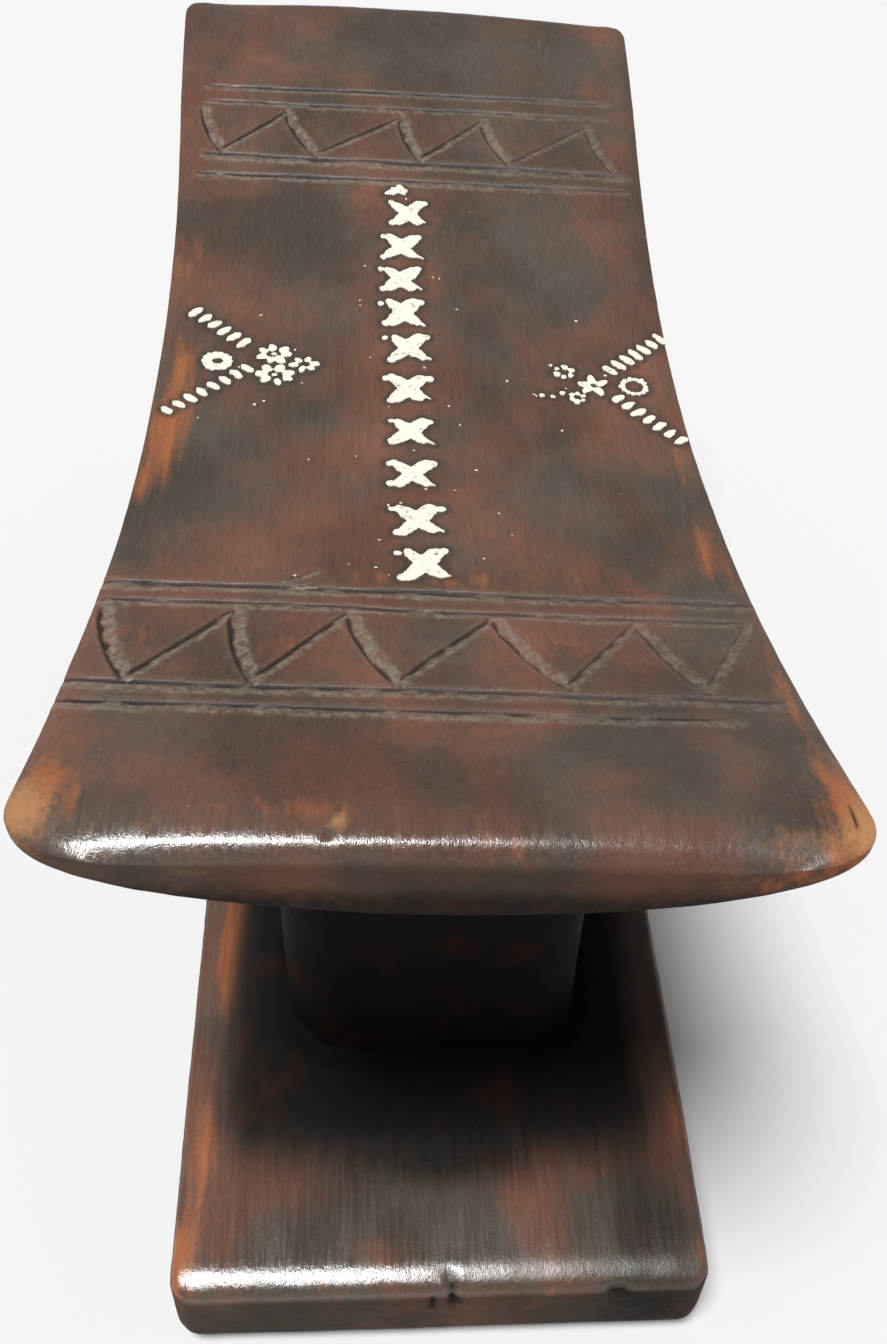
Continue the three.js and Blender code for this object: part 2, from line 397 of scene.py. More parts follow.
def rounded_outline(half_x, half_y, radius, step):
    """Points round a rectangle with round corners, anticlockwise, evenly spaced."""
    corners = []
    for quarter, (side_x, side_y) in enumerate([(1, 1), (-1, 1), (-1, -1), (1, -1)]):
        for i in range(CORNER_STEPS + 1):
            turn = (quarter + i / CORNER_STEPS) * math.pi / 2
            x = side_x * (half_x - radius) + radius * math.cos(turn)
            corners.append((x, side_y * (half_y - radius) + radius * math.sin(turn)))
    closed = np.array(corners + corners[:1])
    run = np.concatenate([[0], np.cumsum(np.linalg.norm(np.diff(closed, axis=0), axis=1))])
    places = np.linspace(0, run[-1], int(run[-1] / step), endpoint=False)
    return np.stack([np.interp(places, run, closed[:, i]) for i in (0, 1)], -1)


def make_post():
    """A broad post with round corners and bowed ends, flaring out under the platform."""
    low, high = body["post_low"], body["post_high"]
    middle, half = (low + high) / 2, (high - low) / 2
    half_y = half[1] - POST_BOW
    step = 1.1 * MM
    outline = rounded_outline(half[0], half_y, POST_CORNER, step)
    foot = body["base_high"][2] - POST_BURIED
    rings = []
    for level in np.linspace(0, 1, round(POST_RISE / step)):
        flare = POST_FLARE * level**FLARE_POWER
        x = outline[:, 0] * (1 + flare / half[0])
        y = outline[:, 1] * (1 + flare / half_y)
        y = y + np.sign(y) * POST_BOW * (1 - (outline[:, 0] / half[0]) ** 2)
        x = x + middle[0]
        crown = body["top"](x, y) - POST_SINK
        rings.append(np.stack([x, y, foot + level * (crown - foot)], -1))
    n = len(outline)
    last = (len(rings) - 1) * n
    points = np.concatenate([*rings, rings[0].mean(0)[None], rings[-1].mean(0)[None]])
    faces = []
    for a in range(n):
        b = (a + 1) % n
        faces += [(a + k, b + k, b + k + n, a + k + n) for k in range(0, last, n)]
        faces += [(len(points) - 2, b, a), (len(points) - 1, last + a, last + b)]
    return mesh_object("post", points, faces)


def apply_modifiers(made):
    """Replaces the object's mesh with what its modifiers make of it."""
    done = bpy.data.meshes.new_from_object(made.evaluated_get(bpy.context.evaluated_depsgraph_get()))
    made.modifiers.clear()
    made.data = done


def join_wood():
    """Platform, post and base as one closed skin, because they are one block of wood."""
    wood = make_platform()
    for part in (make_post(), make_base()):
        union = wood.modifiers.new("union", "BOOLEAN")
        union.operation = "UNION"
        union.solver = "EXACT"
        union.object = part
        apply_modifiers(wood)
        bpy.data.objects.remove(part)
    wood.name = "carved_wood"
    return wood


def normals(mesh):
    direction = np.empty(3 * len(mesh.vertices))
    mesh.vertex_normals.foreach_get("vector", direction)
    return direction.reshape(-1, 3)


def undulation(p):
    """The slow rise and fall, in metres, that a knife leaves on a surface finished by hand."""
    return MM * (0.15 * layered(p, 28, 1, 2) + 0.035 * noise(p, (6, 16, 6), 2))


# -------- carving on the platform

# Lines as x1, y1, x2, y2, width, depth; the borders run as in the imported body, in mm.
BORDER_LINES = [
    (-38, 76, 38, 77.3, 1.5, 0.32),
    (-38, 71.6, 37, 72.4, 1.4, 0.26),
    (-37, 55.7, 39, 55.2, 2.2, 0.4),
    (-38, 50, 38.5, 50.6, 1.8, 0.3),
    (-42, -55.8, 41, -56.9, 1.9, 0.42),
    (-41, -59.6, 40, -61.2, 1.6, 0.34),
    (-43.5, -77.2, 40, -78.4, 2.1, 0.4),
    (-43, -81.3, 34, -82.7, 1.9, 0.3),
]
# Where each zigzag turns along x, and the two levels of y that it runs between.
ZIGZAGS = [
    ([-38.8, -35, -23.5, -17.9, -2.3, 1, 13, 17.6, 33, 36.5], (69, 57)),
    ([-41.5, -36.5, -25.3, -22, -11, -5, 7, 15, 25.5, 32, 40], (-61.8, -76.4)),
]
# Width and depth of the two kinds of stroke, and how far a broad one bows.
BROAD_STROKE = (1.9, 0.42)
FINE_STROKE = (1.3, 0.4)
BROAD_BOW = 0.7
RIGHT_FADE = 0.55
# Slips of the knife beside the near border.
STRAY_CUTS = [(-19.5, -54.6, -15.2, -52.2, 0.8, 0.3), (-21, -56.2, -15, -55.2, 0.9, 0.3)]


def strokes():
    """Every cut as x1, y1, x2, y2, width, depth, bow and its steep side, +1 for the left of its run.

    Broad curved strokes take turns with fine straight ones, shallower towards the right side.
    """
    cuts = [(*line, 0, 1) for line in BORDER_LINES + STRAY_CUTS]
    for xs, ys in ZIGZAGS:
        for i in range(1, len(xs)):
            width, depth = BROAD_STROKE if i % 2 else FINE_STROKE
            bow, steep = (BROAD_BOW, -1) if i % 2 else (0, 1)
            depth *= 1 - RIGHT_FADE * max(0, xs[i] / 40) ** 2
            cuts.append((xs[i - 1], ys[(i - 1) % 2], xs[i], ys[i % 2], width, depth, bow, steep))
    return cuts


# How far towards the steep side a cut is deepest, as a share of its half width.
BOTTOM = 0.45
# How a cut wanders and trembles, in mm, and how much its width and depth change on the way.
WANDER = 0.32
TREMBLE = 0.05
WIDTH_CHANGE = 0.16
DEPTH_CHANGE = 0.22
# Stands for no cut near, where 1 is a cut's half width.
NO_CUT = 9.0
# How far from a cut, in mm, it is worked out.
CUT_MARGIN = 5


def cut_profile(x, y, cut, seed):
    """How deep one cut is at each place, and how far the place lies across it.

    The second is 0 at the middle, 1 at the lip of the steep side and -1 at the lip of the gentle side.
    """
    x1, y1, x2, y2, width, depth, bow = (value * MM for value in cut[:7])
    length = math.hypot(x2 - x1, y2 - y1)
    run = ((x - x1) * (x2 - x1) + (y - y1) * (y2 - y1)) / length
    off = ((y - y1) * (x2 - x1) - (x - x1) * (y2 - y1)) / length
    share = np.clip(run / length, 0, 1)
    off = off + WANDER * MM * wobble(run, 11, seed) + TREMBLE * MM * wobble(run, 2.5, seed + 1)
    off = off + bow * (4 * share * (1 - share) - 0.5)
    half = width / 2 * (1 + WIDTH_CHANGE * wobble(run, 7, seed + 2))
    past = np.maximum(np.abs(run - length / 2) - length / 2, 0)
    across = np.where(off < 0, -1, 1) * cut[7] * np.sqrt(off**2 + past**2) / half
    taper = 0.35 + 0.65 * smooth(0, 5 * MM, np.minimum(run, length - run) + 1 * MM)
    depth = depth * taper * (1 + DEPTH_CHANGE * wobble(run, 8, seed + 3))
    steep, gentle = (1 - across) / (1 - BOTTOM), (1 + across) / (1 + BOTTOM)
    return depth * smooth(0, 1.1, np.minimum(steep, gentle)), across


def all_cuts(x, y):
    """Depth of the deepest cut at each place, and how far across the nearest one it lies."""
    deepest, nearest = np.zeros(len(x)), np.full(len(x), NO_CUT)
    for i, cut in enumerate(strokes()):
        x1, y1, x2, y2 = cut[:4]
        past_x = np.abs(x / MM - (x1 + x2) / 2) - abs(x2 - x1) / 2
        past_y = np.abs(y / MM - (y1 + y2) / 2) - abs(y2 - y1) / 2
        close = np.maximum(past_x, past_y) < CUT_MARGIN
        depth, across = cut_profile(x[close], y[close], cut, 40 + 5 * i)
        deepest[close] = np.maximum(deepest[close], depth)
        nearest[close] = np.where(np.abs(across) < np.abs(nearest[close]), across, nearest[close])
    return deepest, nearest


# Stands for no inlay near.
FAR_FROM_INLAY = 9 * MM


def near_inlay(x, y, margin):
    """Which places lie within a margin of the round outline of an inlay node."""
    near = np.zeros(len(x), bool)
    for spot in inlays.values():
        near |= np.hypot(x - spot["centre"][0], y - spot["centre"][1]) < max(spot["half"]) + margin
    return near


def inlay_gap(x, y, pieces):
    """Distance, seen from above, from each place to the nearest lime that shows."""
    seen = []
    for piece in pieces:
        p = coordinates(piece.data)
        seen.append(p[p[:, 2] > body["top"](p[:, 0], p[:, 1]) - 0.15 * MM])
    seen = np.concatenate(seen)
    tree = KDTree(len(seen))
    for i, (a, b, _) in enumerate(seen):
        tree.insert((a, b, 0), i)
    tree.balance()
    gap = np.full(len(x), FAR_FROM_INLAY)
    for i in np.nonzero(near_inlay(x, y, 2 * MM))[0]:
        gap[i] = tree.find((x[i], y[i], 0))[2]
    return gap


# How far from a cut, in its half widths, and from an inlay the mesh is made finer.
REFINED_ACROSS = 1.7
REFINED_ROUND_INLAY = 0.8 * MM


def refine(wood):
    """Splits the faces beside the cuts and the inlays, so that both can be modelled finely."""
    p = coordinates(wood.data)
    upper = p[:, 2] > body["top"](p[:, 0], p[:, 1]) - 1 * MM
    x, y = p[upper, 0], p[upper, 1]
    near = np.zeros(len(p), int)
    beside_cut = np.abs(all_cuts(x, y)[1]) < REFINED_ACROSS
    near[upper] = np.maximum(2 * beside_cut, near_inlay(x, y, REFINED_ROUND_INLAY))
    with editing(wood.data) as work:
        edges = {1: [], 2: []}
        for edge in work.edges:
            cuts = min(near[edge.verts[0].index], near[edge.verts[1].index])
            if cuts:
                edges[cuts].append(edge)
        for cuts, chosen in edges.items():
            bmesh.ops.subdivide_edges(work, edges=chosen, cuts=cuts, use_grid_fill=True)


# Half height and half breadth of the bands smoothed at the post's foot and under the platform.
FOOT_BAND = (2.5 * MM, 4 * MM)
CROWN_BAND = (3 * MM, 6 * MM)
BLEND_PASSES = 6


def blend_joints(wood):
    """Rounds the corners where the post meets the base and the platform."""
    p = coordinates(wood.data)
    low, high = body["post_low"], body["post_high"]
    outside = np.maximum(low[:2] - p[:, :2], p[:, :2] - high[:2]).max(1)
    above_base = np.abs(p[:, 2] - body["base_high"][2])
    under = np.abs(p[:, 2] - body["top"](p[:, 0], p[:, 1]) + belly(p[:, 0], p[:, 1]))
    at_foot = (above_base < FOOT_BAND[0]) & (np.abs(outside) < FOOT_BAND[1])
    at_crown = (under < CROWN_BAND[0]) & (np.abs(outside - POST_FLARE * 0.6) < CROWN_BAND[1])
    every_way = {"use_axis_x": True, "use_axis_y": True, "use_axis_z": True}
    with editing(wood.data) as work:
        work.verts.ensure_lookup_table()
        chosen = [work.verts[i] for i in np.nonzero(at_foot | at_crown)[0]]
        for _ in range(BLEND_PASSES):
            bmesh.ops.smooth_vert(work, verts=chosen, factor=0.5, **every_way)


# Nicks and chips as x, y, z, half sizes along x, y and z, depth; in mm.
GOUGES = [
    (-12.2, -103.2, 130.6, 0.3, 1.7, 3, 0.7), (-29.6, -102.6, 132, 0.3, 1.3, 3, 0.5),
    (42.4, -100.2, 127.8, 0.4, 3.4, 2.6, 0.6), (2.0, -104.8, 18.6, 0.45, 2.6, 4.5, 1.5),
    (3.4, -104.6, 17.6, 0.4, 2.8, 4.5, 1.3), (0.6, -105.2, 15.6, 0.4, 2.2, 3.5, 1.0),
    (4.7, -104.9, 16.4, 0.35, 2.2, 3.0, 0.9), (2.8, -103.0, 19.3, 1.2, 0.7, 2, 0.5),
    (29.6, -105.0, 18.4, 2.6, 1.0, 1.8, 0.7), (5.0, -99.8, 19.4, 0.6, 1.1, 2, 0.5),
    (-21.4, -56.5, 19.4, 0.4, 4.5, 2, 0.9), (-22.6, -55.0, 19.4, 0.3, 3.2, 2, 0.6),
    (-20.4, -59.5, 19.4, 0.3, 3.0, 2, 0.5), (23.4, -60.5, 19.4, 0.35, 3.0, 2, 0.6),
    (25.0, -58.0, 19.4, 0.3, 2.6, 2, 0.5),
]


def gouges(p):
    """Depth of the nicks at each point."""
    depth = np.zeros(len(p))
    for nick in np.array(GOUGES) * MM:
        reach = (p - nick[:3]) / nick[3:6]
        depth = np.maximum(depth, nick[6] * np.clip(1 - (reach**2).sum(1), 0, 1))
    return depth


def spots(p, places):
    """Adds up soft oval spots, each x, y, half sizes along x and y in mm, and strength."""
    total = np.zeros(len(p))
    for x, y, half_x, half_y, strength in places:
        reach = ((p[:, 0] / MM - x) / half_x) ** 2 + ((p[:, 1] / MM - y) / half_y) ** 2
        total += strength * np.exp(-reach)
    return total


# -------- wear and stain, place by place

# Each place is x, y, half sizes along x and y in mm, and strength.
# Where the platform has lost its stain.
WORN_TOP = [
    (-37.5, -11, 4.5, 12, 0.75), (-36, -1, 4, 8, 0.5), (-38.5, -26, 3.5, 12, 0.5),
    (36, 1, 6, 9, 0.35), (40, -20, 4, 14, 0.45), (38, -47, 5, 12, 0.5), (-2, -53, 16, 2.6, 0.55),
    (15, -47, 9, 7, 0.3), (-37, -68, 6, 5, 0.45), (-19, -69, 4, 4, 0.45), (-9, -67, 3.5, 4.5, 0.45),
    (15, -66, 7, 4.5, 0.5), (-20, 64, 5, 4, 0.45), (5, 66, 5, 4, 0.35), (-34, 63, 4, 5, 0.35),
    (-20, -94, 12, 5, 0.3), (-41, -97, 5, 8, 0.75), (42, -97, 4, 9, 0.75),
    (41.5, -75, 3.5, 14, 0.5), (-37, 30, 3, 12, 0.3), (-12, -101, 20, 2.6, 0.45),
]
# Dark, smoky places on the platform.
DARK_TOP = [
    (-6, 88, 16, 11, 0.55), (28, 92, 14, 9, 0.45), (-21, 34, 10, 11, 0.5), (14, 37, 8, 9, 0.4),
    (25, 25, 11, 12, 0.6), (-14, 17, 8, 9, 0.3), (17, -26, 10, 12, 0.6), (-25, -32, 11, 12, 0.5),
    (-31, -67, 5, 5, 0.5), (17, -90, 14, 8, 0.55), (-30, -88, 10, 6, 0.45), (-2, -94, 5, 7, 0.45),
    (3, -67, 4, 5, 0.4), (35, -66, 7, 5, 0.3),
]
# Dark places on the base; a strength below zero makes the wood redder instead.
DARK_BASE = [
    (0, -94, 20, 10, 0.7), (32, -96, 9, 9, 1.0), (-22, -87, 6, 7, -0.9), (17, -93, 6, 8, -1.0),
    (27, -85, 4, 6, -0.7), (-8, -99, 6, 4, -0.5), (-22, -100, 12, 8, 0.4), (4, 92, 30, 14, 0.6),
]
# Near-black places on the base, besides the painted shadow round the post.
NEAR_BLACK_BASE = [(35, -97, 9, 10, 0.7), (3, -86, 15, 5, 0.35)]
# Where the base has lost its stain.
WORN_BASE = [
    (-33.5, -36, 2.4, 12, 1.5), (-35.5, -50, 2.2, 11, 1.2), (-37, -82, 3, 10, 1.2),
    (-38.5, -98, 2.4, 8, 0.8), (-22, -87, 4, 6, 0.25), (17, -93, 4, 7, 0.25),
    (-12, -100, 8, 4, 0.25), (43, -78, 2.4, 9, 0.75), (31, -99, 4, 6, 0.25),
    (43.5, -101, 2, 6, 0.5), (-39, 60, 3, 40, 0.5), (42, 40, 3, 40, 0.45), (0, 103, 30, 4, 0.5),
]
# Golden bare wood on the platform.
BARE = [
    (-43, -101, 4.0, 6, 1.2), (43.8, -102, 3.4, 6, 1.15), (36, -103.5, 6, 2.2, 0.6),
    (-30, -103, 2, 1.4, 0.5), (-11.2, -102.4, 1.0, 1.6, 0.8), (-25, -59, 2.4, 1.4, 0.5),
    (16, -66.5, 3, 2, 0.5), (-24, -69, 2, 1.4, 0.45), (-17, -102.5, 8, 1.5, 0.4),
    (29, -108, 3, 2, 0.8),
]


# -------- hand-cut surface of the wood

# The whole base lies below this height and the whole platform above it.
PLATFORM_ABOVE = 90 * MM

# How far each kind of unevenness moves the surface, in mm.
POST_FACETS = 0.35
POST_RIPPLES = 0.12
GRAIN_RIDGES = 0.015
RIM_WEAR = 0.03
BASE_WEAR = 0.06
LIP_HEIGHT = 0.06
POCKET_DEPTH = 0.12

# The lip of a cut: its place and spread across the cut, in half widths of the cut.
LIP_PLACE = 1.25
LIP_SPREAD = 0.28

# How far the top of the base falls at its ends and long edges, in mm, and where the fall starts.
BASE_FALL = 0.4
END_FALL_FROM = 16 * MM
SIDE_FALL_FROM = 9 * MM
# Its ends bend over besides, from this many mm before the end.
BASE_BEND = 0.065
BASE_BEND_FROM = 5.2


class Regions:
    """Where each point of the smooth body lies: distances in metres, and shares from 0 to 1."""

    def __init__(self, p, n):
        low, high = body["base_low"], body["base_high"]
        self.x, self.y, self.z = p.T
        self.up = n[:, 2]
        crown = body["top"](self.x, self.y)
        self.depth = crown - self.z
        self.end_gap = body["half_length"] - np.abs(self.y)
        self.base_end_gap = high[1] - np.abs(self.y)
        self.base_side_gap = np.minimum(self.x - low[0], high[0] - self.x)

        self.high = self.z > PLATFORM_ABOVE
        self.on_base = self.z < high[2] + 0.5 * MM
        self.post = (~self.on_base) & (self.z < crown - belly(self.x, self.y) - 0.5 * MM)
        self.top_face = (self.depth < 1.2 * MM) & self.high
        self.platform = smooth(18 * MM, 14 * MM, self.depth) * self.high
        rim_gap = body["half_width"](self.y) - np.abs(self.x)
        edge = np.minimum(np.abs(rim_gap), np.abs(self.end_gap))
        self.platform_edge = smooth(5 * MM, 1 * MM, edge) * self.high
        edge = np.minimum(self.base_side_gap, self.base_end_gap)
        self.base_edge = smooth(6 * MM, 1.5 * MM, edge) * self.on_base * smooth(9 * MM, 15 * MM, self.z)
        beside = smooth(44 * MM, 30 * MM, np.abs(self.x - 2 * MM))
        self.round_post = smooth(94 * MM, 74 * MM, np.abs(self.y)) * beside * self.on_base


def knife_work(p, at, lip):
    """How far out of the smooth surface knife and wear leave each point, in metres."""
    shift = at.post * (POST_FACETS * noise(p, (9, 9, 26), 3) + POST_RIPPLES * noise(p, (3, 3, 14), 4))
    shift = shift + GRAIN_RIDGES * noise(p, (1.3, 7, 1.3), 5)
    shift = shift + RIM_WEAR * at.platform_edge * layered(p, 2.6, 8)
    shift = shift + BASE_WEAR * at.base_edge * layered(p, 2.2, 9)
    shift = shift + LIP_HEIGHT * lip * (0.6 + 0.4 * noise(p, 3, 10))
    return undulation(p) + shift * MM


def base_fall(at):
    """How far the top of the base lies below a flat one, in metres."""
    ends = smooth(END_FALL_FROM, 0, at.base_end_gap) ** 2
    sides = smooth(SIDE_FALL_FROM, 0, at.base_side_gap) ** 2
    bend = np.clip(BASE_BEND_FROM - at.base_end_gap / MM, 0, None) ** 2
    fall = BASE_FALL * (ends + sides) + BASE_BEND * bend
    return fall * at.on_base * smooth(7 * MM, 19 * MM, at.z) * MM


def stain_marks(p, at):
    """Where the stain is worn thin, where it is gone and where it is dark."""
    facing_up = smooth(-0.5, 0.1, at.up)
    upper = at.platform * facing_up
    worn = upper * spots(p, WORN_TOP) + at.on_base * facing_up * spots(p, WORN_BASE)
    worn = worn + 0.5 * at.platform_edge * smooth(0.1, 0.9, noise(p, (9, 14, 9), 13))
    worn = worn + 0.35 * at.base_edge * smooth(-0.2, 0.8, noise(p, 12, 14))
    worn = worn * (1 + 0.5 * layered(p, (1.5, 16, 2), 12, 2))
    end_face = smooth(4 * MM, 2 * MM, at.end_gap) * at.high * smooth(0.4, -0.1, at.up)
    rubbed = smooth(9 * MM, 3 * MM, at.depth) * smooth(-0.6, 0.5, noise(p, (15, 9, 5), 17))
    mottle = smooth(0.1, 0.9, noise(p, (11, 8, 3.5), 15))
    dark = 0.8 * upper * spots(p, DARK_TOP) + at.on_base * spots(p, DARK_BASE)
    return {
        "worn": worn + 0.55 * end_face * rubbed,
        "bare": upper * spots(p, BARE) + 0.6 * end_face * mottle,
        "dark": dark + 0.4 * layered(p, (14, 26, 14), 11, 3) + 0.05,
    }


def soot_and_shade_mark(p, at):
    """Where the wood is darkened to near black: the dark post with painted shade, darkest at its front;
    painted shadow on the base round it, under the platform; painted shade on what faces down or
    outwards and on the platform's lower parts; and a few near-black spots on the base.
    """
    under = at.high & ~at.post
    # Painted shade on the faces under the platform that turn downwards.
    soot_and_shade = 0.3 * under * smooth(-0.1, -0.7, at.up)
    # Painted shade on the platform's lower parts, more than a few mm below its top.
    soot_and_shade = soot_and_shade + 0.7 * under * smooth(4.5 * MM, 11 * MM, at.depth)
    # Painted shade on the base's steep side and end faces.
    soot_and_shade = soot_and_shade + 0.35 * at.on_base * smooth(0.5, 0.1, np.abs(at.up))
    # Painted shadow of the platform on the top of the base round the post.
    soot_and_shade = soot_and_shade + 0.9 * at.round_post * smooth(0.5 * MM, 3 * MM, at.z)
    soot_and_shade = soot_and_shade + at.on_base * spots(p, NEAR_BLACK_BASE)
    # The post: its dark wood darkened further by painted shade, most at its front.
    soot_and_shade = soot_and_shade + at.post * (0.6 + 0.4 * smooth(-25 * MM, -62 * MM, at.y))
    return np.clip(soot_and_shade, 0, 1)


def cut_marks(p, at, cut, across, lip):
    """The dark bottom of the cuts, partly dirt and partly painted shade on the steep side, and their
    pale lip, partly dust and partly painted light on the gentle side, both fainter towards the right
    side.
    """
    fading = 0.5 + 0.5 * smooth(44 * MM, -15 * MM, at.x)
    ragged = across + 0.45 * noise(p, (2.4, 1.3, 2), 16)
    slope = smooth(-1.7, -1.1, ragged) * smooth(0.55, 0.1, ragged) * (np.abs(across) < 3)
    return {
        # Dark on the steep side of each cut: dirt and painted shade.
        "cut": smooth(0.02 * MM, 0.2 * MM, cut) * smooth(0, 0.5, ragged) * fading,
        # Pale on the gentle side of each cut: dust and painted light.
        "lip": np.clip(slope + 0.3 * lip, 0, 1) * fading,
    }


def gloss_marks(p, at, nick):
    """Black in the nicks and painted shade along the crease round the post's foot, matt places, and
    polish left by hands.
    """
    low, high = body["post_low"][:2], body["post_high"][:2]
    over = np.abs(p[:, :2] - (high + low) / 2) - (high - low) / 2 + POST_CORNER
    outside = np.linalg.norm(np.maximum(over, 0), axis=1) - POST_CORNER
    foot = smooth(3 * MM, 1 * MM, np.abs(at.z - body["base_high"][2]))
    foot = foot * smooth(3 * MM, 1 * MM, np.abs(outside))
    matt = np.clip(smooth(0.72, 0.3, at.up) + foot + 0.7 * at.round_post**2, 0, 1)
    handled = smooth(9 * MM, 4 * MM, at.end_gap) * at.high * smooth(44 * MM, 37 * MM, np.abs(at.x))
    handled = handled + smooth(24 * MM, 3 * MM, at.base_end_gap) * at.on_base
    lit_side = smooth(36 * MM, -14 * MM, at.x)
    return {
        # Black in the nicks, and painted shade in the crease round the post's foot.
        "nick_black_and_foot_shade": np.maximum(smooth(0.2 * MM, 0.6 * MM, nick), 0.7 * foot),
        "matt": matt,
        "polish": handled * (0.2 + 0.8 * lit_side) * (1 - matt),
    }


def carve(wood, lime_pieces):
    """Gives the smooth body its hand-cut surface, and notes on each point what the stain and the
    painted shade need.
    """
    mesh = wood.data
    p, n = coordinates(mesh), normals(mesh)
    at = Regions(p, n)
    top = at.top_face
    cut, across = np.zeros(len(p)), np.full(len(p), NO_CUT)
    cut[top], across[top] = all_cuts(at.x[top], at.y[top])
    cut = cut * (1 + 0.06 * noise(p, (1.6, 1.6, 2), 6))
    lip = np.exp(-(((np.abs(across) - LIP_PLACE) / LIP_SPREAD) ** 2))
    gap = np.full(len(p), FAR_FROM_INLAY)
    gap[top] = inlay_gap(at.x[top], at.y[top], lime_pieces)
    pocket = smooth(0.6 * MM, 0.2 * MM, gap + 0.15 * MM * noise(p, 1.2, 7))
    nick = gouges(p)

    p = p + n * (knife_work(p, at, lip) - 0.9 * nick)[:, None]
    p[:, 2] -= top * (cut + POCKET_DEPTH * MM * pocket) + base_fall(at)
    p[:, 2] = np.where(at.z < 0.02 * MM, 0, np.maximum(p[:, 2], 0))
    mesh.vertices.foreach_set("co", p.ravel())
    mesh.update()

    marks = {**stain_marks(p, at), **cut_marks(p, at, cut, across, lip), **gloss_marks(p, at, nick)}
    marks["soot_and_shade"] = soot_and_shade_mark(p, at)
    marks["stain"] = smooth(1.3 * MM, 0.25 * MM, gap)
    for name, values in marks.items():
        layer = mesh.attributes.new(name, "FLOAT", "POINT")
        layer.data.foreach_set("value", values.astype(np.float32))


# -------- materials


class Shader:
    """One material and short ways to add nodes to it."""

    def __init__(self, name):
        self.material = bpy.data.materials.new(name)
        self.material.use_nodes = True
        self.tree = self.material.node_tree
        self.surface = self.tree.nodes["Principled BSDF"]
        self.place = self.node("TexCoord", {})["Object"]

    def plug(self, socket, value):
        if isinstance(value, bpy.types.NodeSocket):
            self.tree.links.new(value, socket)
        elif value is not None:
            socket.default_value = value

    def node(self, kind, inputs, **settings):
        """The outputs of a new node; each input is a constant or another node's output."""
        made = self.tree.nodes.new("ShaderNode" + kind)
        for name, value in settings.items():
            setattr(made, name, value)
        for name, value in inputs.items():
            self.plug(made.inputs[name], value)
        return made.outputs

    def set(self, name, value):
        """Gives the surface this value or output."""
        self.plug(self.surface.inputs[name], value)

    def attribute(self, name):
        return self.node("Attribute", {}, attribute_name=name)["Fac"]

    def noise(self, cell, detail=3, roughness=0.55, distortion=0):
        """Noise from 0 to 1; cell is its grain size in mm along x, y and z."""
        place = self.node("Mapping", {"Vector": self.place, "Scale": [1 / (c * MM) for c in cell]})
        inputs = {"Vector": place["Vector"], "Scale": 1, "Detail": detail}
        inputs |= {"Roughness": roughness, "Distortion": distortion}
        return self.node("TexNoise", inputs)["Fac"]

    def math(self, operation, a, b):
        return self.node("Math", {0: a, 1: b}, operation=operation)[0]

    def add(self, value, other, amount=1.0, middle=0.0):
        """The value plus this amount of how far the other one is above its middle."""
        other = self.math("SUBTRACT", other, middle)
        return self.math("ADD", value, self.math("MULTIPLY", other, amount))

    def step(self, value, low, high, floor=0.0, ceiling=1.0):
        """A soft step from floor to ceiling while value goes from low to high."""
        inputs = {"Value": value, "From Min": low, "From Max": high, "To Min": floor, "To Max": ceiling}
        return self.node("MapRange", inputs, interpolation_type="SMOOTHSTEP")["Result"]

    def mix(self, factor, a, b, mode="MIX"):
        inputs = {"Factor": factor, "A": a, "B": b}
        return self.node("Mix", inputs, data_type="RGBA", blend_type=mode)["Result"]

    def shade(self, colour, value):
        """The colour times a grey of this value."""
        grey = self.node("CombineColor", {0: value, 1: value, 2: value})["Color"]
        return self.mix(1.0, colour, grey, "MULTIPLY")

    def bump(self, layers):
        """Chains bumps, each a height and its depth in mm, onto the surface's normal."""
        normal = None
        for height, depth in layers:
            inputs = {"Strength": 1, "Distance": depth * MM, "Height": height, "Normal": normal}
            normal = self.node("Bump", inputs)["Normal"]
        self.set("Normal", normal)


RED_BROWN = (0.124, 0.056, 0.037, 1)
SMOKY_BROWN = (0.060, 0.048, 0.037, 1)
ORANGE = (0.27, 0.092, 0.036, 1)
GOLD = (0.34, 0.17, 0.075, 1)
FLECK = (0.25, 0.115, 0.06, 1)
# Near-black and a redder near-black, for soot and for painted shade and shadow.
SOOT_AND_SHADE_BLACK = (0.0065, 0.0055, 0.0045, 1)
SOOT_AND_SHADE_RED = (0.024, 0.009, 0.006, 1)
# Pale for dust and painted light on the gentle lips of the cuts, and black for dirt and painted shade
# in them.
DUST_AND_LIT_SIDE = (0.185, 0.157, 0.125, 1)
CUT_DARK = (0.012, 0.010, 0.008, 1)
STAIN = (0.038, 0.031, 0.025, 1)


def stained_colour(s, grain, blots):
    """Red-brown wood under smoky patches of stain."""
    dark = s.add(s.attribute("dark"), blots, 1.7, 0.5)
    colour = s.mix(s.step(dark, -0.45, 0.55), RED_BROWN, SMOKY_BROWN)
    colour = s.shade(colour, s.step(s.noise((17, 24, 17), 3, 0.5), 0.32, 0.68, 0.8, 1.2))
    return s.shade(colour, s.step(grain, 0.3, 0.7, 0.91, 1.08))


def worn_colour(s, colour, streaks, specks):
    """Orange where the stain is thin, pale flecks, and gold where the wood is bare."""
    thin = s.add(s.attribute("worn"), streaks, 1.1, 0.5)
    thin = s.add(thin, specks, 0.5, 0.5)
    colour = s.mix(s.step(thin, 0.32, 1.15), colour, ORANGE)
    flecks = s.add(s.noise((0.45, 0.8, 0.45), 2, 0.6), thin, 0.05)
    colour = s.mix(s.step(flecks, 0.68, 0.76, 0, 0.5), colour, FLECK)
    bare = s.add(s.attribute("bare"), specks, 0.8, 0.5)
    return s.mix(s.step(bare, 0.3, 1.3), colour, GOLD)


